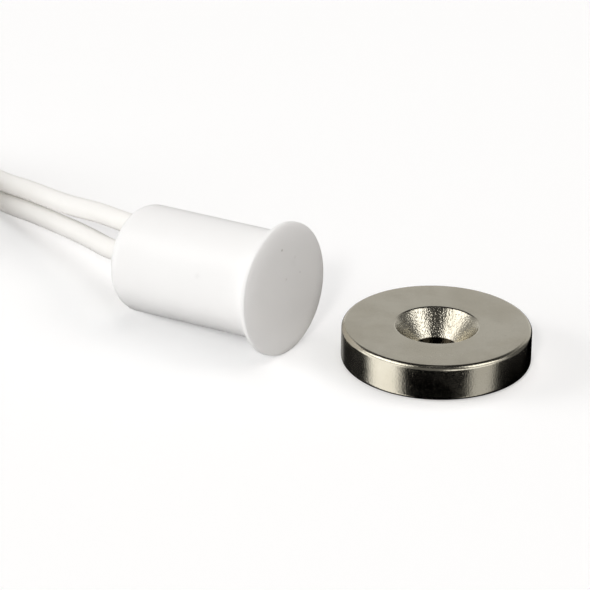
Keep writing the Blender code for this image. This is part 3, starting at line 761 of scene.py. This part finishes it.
def housingMaterial(place):
    h = housingSet
    material, tree, shader, coords = startMaterial("housingPlastic", h["color"], h["rough"], place=place)
    color = clouded(tree, coords, 400, h["color"], h["cloudColor"], scale=130.0, most=0.45)
    dirt = effect(tree, "specks", coords, (-1000, 180), {"Scale": 520.0, "Share": 0.025, "Size": 0.13})
    marks = mathNode(tree, "MULTIPLY", (-800, 180), dirt, 0.5)
    for i, (spot, radius, strength) in enumerate(housingMarks):
        mark = effect(tree, "spot", coords, (-1000 + 40 * i, -700 - 40 * i), {
            "Place": Vector(spot) * mm, "Radius": radius * mm, "Depth": strength,
        })
        marks = mathNode(tree, "MAXIMUM", (-800 + 40 * i, -700 - 40 * i), marks, mark)
    join(tree, mixColor(tree, (-300, 400), marks, color, h["markColor"]), (shader, "Base Color"))
    glossed(tree, shader, coords, -60, scale=300.0, span=h["gloss"])
    grain = effect(tree, "fineGrain", coords, (-1000, -280), {"Scale": 5200.0, "Coarse": 0.35})
    lines = effect(tree, "scratches", coords, (-1000, -480), {"Scale": 900.0, "Stretch": 0.05, "Share": 0.42})
    addBumps(tree, shader, [(grain, 0.16, 0.02), (lines, 0.10, 0.01)])
    return material


# Potting compound, seen at the back of the housing

pottingSet = {
    "gap": 0.02, "recess": 0.3, "meniscus": 0.2, "climb": 0.22, "climbWidth": 0.45,
    "surfaceDepth": 1.0,    # how far in from the recess a point still counts as the surface
    "rings": 44, "cornerRings": 4, "steps": 160,
    "color": (0.80, 0.785, 0.745),
    "cloudColor": (0.70, 0.675, 0.62),
    "rough": 0.35,
    "gloss": (0.22, 0.45),
}


def makePotting(place, leads, material):
    h, p = housingSet, pottingSet
    bore = h["bodyDiameter"] / 2 - h["wall"] - p["gap"]
    front, back, corner = -h["frontWall"] - p["gap"], -(h["length"] - p["recess"]), h["boreCorner"]
    profile = [(front, 0)] + arc(front - corner, bore - corner, corner, 0, 90, p["cornerRings"])
    for i in range(p["rings"] + 1):
        out = bore * (1 - i / p["rings"])
        profile.append((back + p["meniscus"] * (1 - (out / bore) ** 2), out))
    bm = spinProfile([(a * mm, r * mm) for a, r in profile], p["steps"], alongX, alongZ)
    bmesh.ops.transform(bm, matrix=place, verts=bm.verts)
    # the compound climbs a little on each lead that leaves it
    behind = place @ Vector(((back + p["surfaceDepth"]) * mm, 0, 0))
    outward = (place.to_3x3() @ Vector((-1, 0, 0))).normalized()
    for vert in bm.verts:
        if (vert.co - behind).dot(outward) < 0:
            continue
        for lead in leads:
            inner, mouth = Vector(lead["inner"]) * mm, Vector(lead["mouth"]) * mm
            run = (mouth - inner).normalized()
            away = vert.co - inner
            clear = (away - run * away.dot(run)).length - leadSet["diameter"] / 2 * mm
            near = max(0.0, 1 - max(clear, 0.0) / (p["climbWidth"] * mm))
            vert.co += outward * p["climb"] * mm * near ** 2
    mesh = finishMesh(bm, "potting_fill")
    return addPiece("potting_fill", mesh, material, "potting", "potting_compound")


def pottingMaterial(place):
    p = pottingSet
    material, tree, shader, coords = startMaterial("pottingResin", p["color"], p["rough"], place=place)
    color = clouded(tree, coords, 300, p["color"], p["cloudColor"], scale=520.0, most=0.8)
    join(tree, color, (shader, "Base Color"))
    glossed(tree, shader, coords, 60, scale=900.0, span=p["gloss"])
    wave = effect(tree, "fineGrain", coords, (-1000, -180), {"Scale": 1500.0, "Coarse": 0.7})
    bubbles = effect(tree, "specks", coords, (-1000, -400), {"Scale": 2200.0, "Share": 0.16, "Size": 0.42})
    holes = mathNode(tree, "MULTIPLY", (-700, -400), bubbles, -1.0)
    addBumps(tree, shader, [(wave, 0.4, 0.05), (holes, 0.6, 0.06)])
    return material


# Magnet, in its own millimetres

magnetSet = {
    "edge": 0.4, "sinkDiameter": 7.2, "sinkAngle": 82, "lip": 0.25,
    "holeDiameter": 3.6, "holeEdge": 0.2,
    "steps": 288,
    # how many steps each stretch of the profile has
    "rings": {"foot": 12, "edge": 18, "top": 5, "lip": 8, "sink": 5, "hole": 6},
    "color": (0.672, 0.630, 0.520),
    "cloudColor": (0.605, 0.560, 0.450),
    "pitColor": (0.30, 0.27, 0.23),
    "wornColor": (0.78, 0.74, 0.67),
    # painted shade: the near-black colour of the unlit hole
    "holeShadeColor": (0.055, 0.045, 0.03),
    "rough": 0.2,
    "gloss": (0.13, 0.19),
    "wearReach": 0.1,
    # how strong the grain is, and where it and the painted shade of the hole fade, from their edges outwards
    "grain": {"sink": 1.0, "side": 0.22, "top": 0.15},
    "sinkFade": (0.05, -0.25), "sideFade": 0.1, "holeShadeFade": (0.06, 0.01),
}


def magnetProfile(radius, thick):
    # from the foot's edge over the side, the top and the countersink down into the hole
    m, rings = magnetSet, magnetSet["rings"]
    edge, lip, hole, small = m["edge"], m["lip"], m["holeDiameter"] / 2, m["holeEdge"]
    half = radians(m["sinkAngle"] / 2)
    sink = m["sinkDiameter"] / 2
    deep = (sink - hole) / tan(half)
    turn = pi / 2 - half
    lipStart = sink + lip * tan(turn / 2)
    points = arc(edge, radius - edge, edge, 180, 90, rings["foot"])
    points += arc(thick - edge, radius - edge, edge, 90, 0, rings["edge"])
    run = lipStart - radius + edge
    points += [(thick, radius - edge + run * i / rings["top"]) for i in range(1, rings["top"])]
    points += arc(thick - lip, lipStart, lip, 0, -degrees(turn), rings["lip"])
    points += [
        (thick - deep * i / rings["sink"], sink + (hole - sink) * i / rings["sink"])
        for i in range(1, rings["sink"] + 1)
    ]
    points += arc(small, hole + small, small, -90, -180, rings["hole"])
    return [(a * mm, r * mm) for a, r in points]


def paintEdges(bm, reach):
    # the attribute grows with how sharply the surface turns at a point
    layer = bm.verts.layers.float.new("edge")
    bm.normal_update()
    for vert in bm.verts:
        turns = [edge.calc_face_angle(0.0) / max(edge.calc_length(), weld) for edge in vert.link_edges]
        vert[layer] = min(1.0, max(turns) * reach)


def magnetMiddle():
    low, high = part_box("magnet")
    return Vector(((low.x + high.x) / 2, (low.y + high.y) / 2, low.z))


def makeMagnet(material):
    low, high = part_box("magnet")
    profile = magnetProfile((high.y - low.y) / 2 / mm, (high.z - low.z) / mm)
    bm = spinProfile(profile, magnetSet["steps"], alongZ, alongX, closed=True)
    bmesh.ops.translate(bm, verts=bm.verts, vec=magnetMiddle())
    paintEdges(bm, magnetSet["wearReach"] * mm)
    return addPiece("magnet_ring", finishMesh(bm, "magnet_ring"), material, "magnet_nickel", "magnet")


def magnetMaterial():
    m = magnetSet
    low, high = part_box("magnet")
    outer, sink, hole = (high.y - low.y) / 2, m["sinkDiameter"] / 2 * mm, m["holeDiameter"] / 2 * mm
    material, tree, shader, coords = startMaterial(
        "magnetNickel", m["color"], m["rough"], 1.0, Matrix.Translation(magnetMiddle())
    )
    color = clouded(tree, coords, 500, m["color"], m["cloudColor"], scale=260.0, most=0.9)
    pits = effect(tree, "specks", coords, (-1000, 280), {"Scale": 2600.0, "Share": 0.10, "Size": 0.30})
    faint = mathNode(tree, "MULTIPLY", (-800, 280), pits, 0.22)
    color = mixColor(tree, (-500, 500), faint, color, m["pitColor"])
    edge = put(tree, "ShaderNodeAttribute", (-1200, 700), {"attribute_name": "edge"})
    wear = effect(tree, "edgeWear", coords, (-1000, 700), {"Scale": 700.0})
    join(tree, (edge, "Fac"), (wear[0], "Edge"))
    worn = mathNode(tree, "MULTIPLY", (-800, 700), wear, 0.35)
    color = mixColor(tree, (-300, 500), worn, color, m["wornColor"])
    glossed(tree, shader, coords, 60, scale=600.0, span=m["gloss"])
    # how far a point is from the axis
    parts = put(tree, "ShaderNodeSeparateXYZ", (-1200, -300))
    join(tree, coords, (parts, 0))
    squareX = mathNode(tree, "POWER", (-1050, -260), (parts, "X"), 2.0)
    squareY = mathNode(tree, "POWER", (-1050, -420), (parts, "Y"), 2.0)
    away = mathNode(tree, "SQRT", (-780, -340), mathNode(tree, "ADD", (-900, -340), squareX, squareY))
    # the grain is coarser in the countersink
    strong, (fadeOut, fadeIn) = m["grain"], m["sinkFade"]
    span = sink + fadeOut * mm, sink + fadeIn * mm
    inSink = rangeNode(tree, (-640, -300), away, span, (strong["top"], strong["sink"]))
    span = outer - m["edge"] * mm, outer - m["sideFade"] * mm
    onSide = rangeNode(tree, (-640, -480), away, span, (0.0, strong["side"] - strong["top"]))
    strength = mathNode(tree, "ADD", (-460, -400), inSink, onSide)
    sand = effect(tree, "specks", coords, (-1000, -640), {"Scale": 6600.0, "Share": 0.8, "Size": 0.7})
    grain = effect(tree, "fineGrain", coords, (-1000, -760), {"Scale": 5600.0, "Coarse": 0.12})
    sandy = mathNode(tree, "MULTIPLY", (-600, -640), sand, strength)
    deep = mathNode(tree, "MULTIPLY", (-600, -760), grain, strength)
    # painted shade: the hole below the countersink is coloured near black, as nothing lights it
    span = tuple(hole + fade * mm for fade in m["holeShadeFade"])
    inHoleShade = rangeNode(tree, (-640, -120), away, span)
    join(tree, mixColor(tree, (-100, 500), inHoleShade, color, m["holeShadeColor"]), (shader, "Base Color"))
    lines = effect(tree, "scratches", coords, (-1000, -860), {"Scale": 500.0, "Stretch": 0.08, "Share": 0.5})
    addBumps(tree, shader, [(deep, 1.0, 0.03), (sandy, 1.0, 0.014), (lines, 0.08, 0.01)])
    return material


# Twist tie, in its own millimetres: X across the band, Y out of the coil, Z up

tieSet = {
    "width": 2.6, "wing": 0.16, "wingEdge": 0.7, "wingBevel": 0.08,
    "core": 0.34, "coreWidth": 0.7, "coreStep": 30,
    "halfAcross": 2.9, "halfUp": 2.9, "corner": 0.85, "cornerSteps": 8, "sideSteps": 4,
    "tailLength": 7.0, "tailTwists": 1.5, "tailSteps": 48, "tailWidth": 1.45, "tailThick": 0.2,
    "tailBody": 0.5,    # both strips together, where they lie flat
    "tailSpread": 0.55, "tailAside": 0.26, "tailLift": 0.2,
    "color": (0.90, 0.898, 0.885),
    "fibreColor": (0.80, 0.79, 0.77),
    "rough": 0.6,
    "gloss": (0.5, 0.68),
}


def tieMatrix():
    height = coilSet["slack"] + coilSet["turnsHigh"] / 2 * leadSet["diameter"]
    middle = Matrix.Translation(Vector((coilSet["middleTurn"], 0, height)) * mm)
    return coilPlace @ middle @ Matrix.Rotation(-pi / 2, 4, "Z")


def bandSection(bm, at):
    # flat wings with a rounded ridge over the wire, from the inner face outwards
    t = tieSet
    half, core, wing, inset = t["width"] / 2, t["coreWidth"] / 2, t["wing"], t["wingBevel"]
    points = [(-half, 0.0), (half, 0.0), (half, wing * t["wingEdge"]), (half - inset, wing)]
    for a in range(0, 181, t["coreStep"]):
        points.append((core * cos(radians(a)), wing + (t["core"] - wing) * sin(radians(a))))
    points += [(-half + inset, wing), (-half, wing * t["wingEdge"])]
    return closedLoop(bm, [bm.verts.new(at + Vector((x, 0, z)) * mm) for x, z in points])


def makeBand(bm):
    # the section runs along each side and turns each corner
    t = tieSet
    flat = [(t["halfAcross"] - t["corner"]) * 2 * mm, (t["halfUp"] - t["corner"]) * 2 * mm]
    section = bandSection(bm, Vector((0, -flat[0] / 2, t["halfUp"] * mm)))
    corner = Vector((0, flat[0] / 2, flat[1] / 2))
    way = Vector((0, 1, 0))
    quarter = Matrix.Rotation(-pi / 2, 3, "X")
    for side in range(4):
        for i in range(t["sideSteps"]):
            section = extrudeOn(bm, section, way * flat[side % 2] / t["sideSteps"])
        section = bmesh.ops.spin(
            bm, geom=section, cent=corner, axis=alongX, angle=-pi / 2, steps=t["cornerSteps"],
            use_merge=False,
        )["geom_last"]
        corner, way = quarter @ corner, quarter @ way


def makeTail(bm):
    # two strips twisted together, folded down on the coil
    t = tieSet
    half, strip, steps = t["tailWidth"] / 2 * mm, t["tailThick"] * mm, t["tailSteps"]
    lift = Vector((t["tailAside"] * mm, 0, (t["halfUp"] + t["core"] + t["tailLift"]) * mm))
    for layer in (-1, 1):
        at = layer * strip * t["tailSpread"]
        low, high = at - strip / 2, at + strip / 2
        corners = (-half, low), (half, low), (half, high), (-half, high)
        verts = [bm.verts.new(lift + Vector((0, y, z))) for y, z in corners]
        section = closedLoop(bm, verts)
        bm.faces.new(verts)
        centre, before = Vector(lift), 0.0
        for i in range(1, steps + 1):
            turn = pi * t["tailTwists"] * i / steps
            rise = (t["tailWidth"] - t["tailBody"]) / 2 * mm * abs(sin(turn))
            move = Vector((t["tailLength"] * mm / steps, 0, rise - before))
            section = extrudeOn(bm, section, move)
            centre += move
            before = rise
            twist = Matrix.Rotation(pi * t["tailTwists"] / steps, 3, "X")
            bmesh.ops.rotate(bm, verts=vertsOf(section), cent=centre, matrix=twist)
        bm.faces.new(vertsOf(section))


def makeTie(material):
    bm = bmesh.new()
    makeBand(bm)
    makeTail(bm)
    bmesh.ops.transform(bm, matrix=tieMatrix(), verts=bm.verts)
    return addPiece("coil_twist_tie", finishMesh(bm, "coil_twist_tie"), material, "tie", "coil_tie")


def tieMaterial():
    t = tieSet
    material, tree, shader, coords = startMaterial("tiePaper", t["color"], t["rough"], place=tieMatrix())
    fibre = effect(tree, "scratches", coords, (-1000, 300), {"Scale": 1600.0, "Stretch": 0.2, "Share": 0.7})
    join(tree, mixColor(tree, (-700, 300), fibre, t["color"], t["fibreColor"]), (shader, "Base Color"))
    glossed(tree, shader, coords, 60, scale=700.0, span=t["gloss"])
    crinkle = effect(tree, "fineGrain", coords, (-1000, -180), {"Scale": 2600.0, "Coarse": 0.7})
    addBumps(tree, shader, [(crinkle, 0.5, 0.06), (fibre, 0.2, 0.02)])
    return material


# Tinned ends of the leads, in millimetres

endSet = {
    "diameter": 0.75, "length": 5.0, "strands": 7, "ridge": 0.055, "lay": 9.0,
    "stepsPerStrand": 6, "steps": 28, "tipSteps": 3, "tipTaper": 0.86, "sharp": 60,
    "turnIn": {"A": 24, "B": 21},
    "color": (0.70, 0.685, 0.655), "rough": 0.32, "grainScale": 2600.0, "grainDepth": 0.03,
}


def makeTinnedEnd(name, lead, letter, material, node):
    e = endSet
    # it comes out of the jacket's middle and sinks to the table
    start = coilPoint(*lead["wind"][-1])
    angle = radians(leadSet["runHeading"] + lead["wind"][-1][0] + e["turnIn"][letter])
    low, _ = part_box(node)
    tip = start + Vector((cos(angle), sin(angle), 0)) * e["length"] * mm
    tip.z = low.z + e["diameter"] / 2 * mm
    along = tip - start
    steps, around = e["steps"], e["strands"] * e["stepsPerStrand"]
    bm = bmesh.new()
    ring = bmesh.ops.create_circle(
        bm, cap_ends=True, segments=around, radius=e["diameter"] / 2 * mm
    )["verts"]
    for vert in ring:
        a = atan2(vert.co.y, vert.co.x)
        vert.co *= 1 - e["ridge"] * (1 - cos(e["strands"] * a)) / 2
    section = ring + list(bm.edges)
    twist = Matrix.Rotation(2 * pi * e["length"] / e["lay"] / steps, 3, "Z")
    for i in range(1, steps + 1):
        section = extrudeOn(bm, section, (0, 0, along.length / steps))
        verts = vertsOf(section)
        bmesh.ops.rotate(bm, verts=verts, cent=(0, 0, 0), matrix=twist)
        if i > steps - e["tipSteps"]:
            bmesh.ops.scale(bm, verts=verts, vec=(e["tipTaper"], e["tipTaper"], 1))
    bm.faces.new(vertsOf(section))
    place = Matrix.Translation(start) @ along.to_track_quat("Z", "Y").to_matrix().to_4x4()
    bmesh.ops.transform(bm, matrix=place, verts=bm.verts)
    return addPiece(name, finishMesh(bm, name, e["sharp"]), material, "tinned_copper", node)


def metalMaterial(name, values):
    color, rough, scale = values["color"], values["rough"], values["grainScale"]
    material, tree, shader, coords = startMaterial(name, color, rough, 1.0)
    darker = tuple(0.8 * c for c in color)
    clouds = clouded(tree, coords, 300, color, darker, scale=scale / 4, most=0.6)
    join(tree, clouds, (shader, "Base Color"))
    glossed(tree, shader, coords, 60, scale=scale, span=(rough - 0.08, rough + 0.1))
    grain = effect(tree, "fineGrain", coords, (-1000, -180), {"Scale": scale, "Coarse": 0.5})
    addBumps(tree, shader, [(grain, 0.4, values["grainDepth"])])
    return material


# Inner pieces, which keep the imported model's shape

innerSet = {
    "reed": {"color": (0.60, 0.59, 0.56), "rough": 0.3, "grainScale": 1800.0, "grainDepth": 0.02},
    "solder": {"color": (0.66, 0.66, 0.67), "rough": 0.34, "grainScale": 1200.0, "grainDepth": 0.05},
    "glass": {
        "color": (0.72, 0.86, 0.78), "rough": 0.05, "gloss": (0.03, 0.12), "transmission": 0.9, "ior": 1.5,
    },
    "sleeve": {"color": (0.86, 0.84, 0.77), "weaveColor": (0.70, 0.66, 0.56), "rough": 0.5},
}


def glassMaterial():
    g = innerSet["glass"]
    material, tree, shader, coords = startMaterial("reedGlass", g["color"], g["rough"])
    feed(tree, shader, {"Transmission Weight": g["transmission"], "IOR": g["ior"]})
    glossed(tree, shader, coords, 0, scale=900.0, span=g["gloss"])
    wave = effect(tree, "fineGrain", coords, (-1000, -300), {"Scale": 700.0, "Coarse": 0.8})
    addBumps(tree, shader, [(wave, 0.1, 0.03)])
    return material


def sleeveMaterial():
    s = innerSet["sleeve"]
    material, tree, shader, coords = startMaterial("sleeveFibre", s["color"], s["rough"])
    weave = effect(tree, "scratches", coords, (-1000, 300), {"Scale": 2400.0, "Stretch": 0.3, "Share": 0.8})
    join(tree, mixColor(tree, (-700, 300), weave, s["color"], s["weaveColor"]), (shader, "Base Color"))
    addBumps(tree, shader, [(weave, 0.5, 0.03)])
    return material


def dressInner(materials):
    for name, material in materials.items():
        frame["nodes"][name].material_slots[0].material = material


# The whole

def main():
    makeCamera()
    makeWorld()
    for name, values in lightSet.items():
        makeLight(name, values)
    makeFloor()
    print("light and floor set")

    jacket = jacketMaterial()
    tinned = metalMaterial("tinnedCopper", endSet)
    leadOne = makeLead("lead_a", leadA, jacket, "lead_jacket_a", "lead_coil")
    leadTwo = makeLead("lead_b", leadB, jacket, "lead_jacket_b", "lead_coil")
    endOne = makeTinnedEnd("tinned_tip_a", leadA, "A", tinned, "tinned_end_a")
    endTwo = makeTinnedEnd("tinned_tip_b", leadB, "B", tinned, "tinned_end_b")
    tie = makeTie(tieMaterial())
    print("leads, their ends and the tie made")

    place = switchPlace(housingSet["flangeThickness"] * mm)
    makeHousing(place, housingMaterial(place))
    makePotting(place, (leadA, leadB), pottingMaterial(place))
    makeMagnet(magnetMaterial())
    print("housing, compound and magnet made")

    reed = metalMaterial("reedMetal", innerSet["reed"])
    solder = metalMaterial("solderAlloy", innerSet["solder"])
    dressInner({
        "reed_glass": glassMaterial(), "reed_blade_front": reed, "reed_blade_rear": reed,
        "insulating_sleeve": sleeveMaterial(), "solder_joint_a": solder, "solder_joint_b": solder,
        "lead_core_a": tinned, "lead_core_b": tinned,
    })
    print("inner pieces dressed")

    bpy.context.scene.view_settings.view_transform = "Standard"


main()
